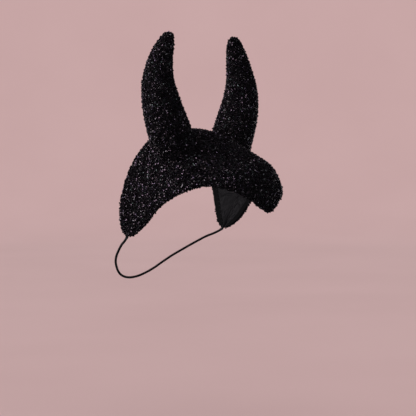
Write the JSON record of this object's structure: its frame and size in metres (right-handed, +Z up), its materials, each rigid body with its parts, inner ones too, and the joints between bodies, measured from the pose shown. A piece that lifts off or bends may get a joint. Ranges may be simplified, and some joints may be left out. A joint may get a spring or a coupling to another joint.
{
  "type": "devil horn fascinator",
  "caption": "Black beaded half cap with a widow's peak over the forehead, curved stuffed horns on the crown and a round elastic that passes behind the nape.",
  "frame": {"origin": "inside of the cap's crown on its middle plane, above the middle of the head, where the cap sits", "axes": "+Z up, -Y the way the wearer faces, +X to the wearer's left"},
  "size_m": [0.1744, 0.1769, 0.2544],
  "materials": {
    "bead_cloth": "black cloth covered in cut glass beads",
    "horn_cloth": "black cloth covered in cut glass beads over wadding",
    "elastic": "braided black hat elastic"
  },
  "bodies": {
    "root": {"half_cap": "bead_cloth", "horn_right": "horn_cloth", "horn_left": "horn_cloth", "elastic_cord": "elastic"}
  },
  "joints": []
}
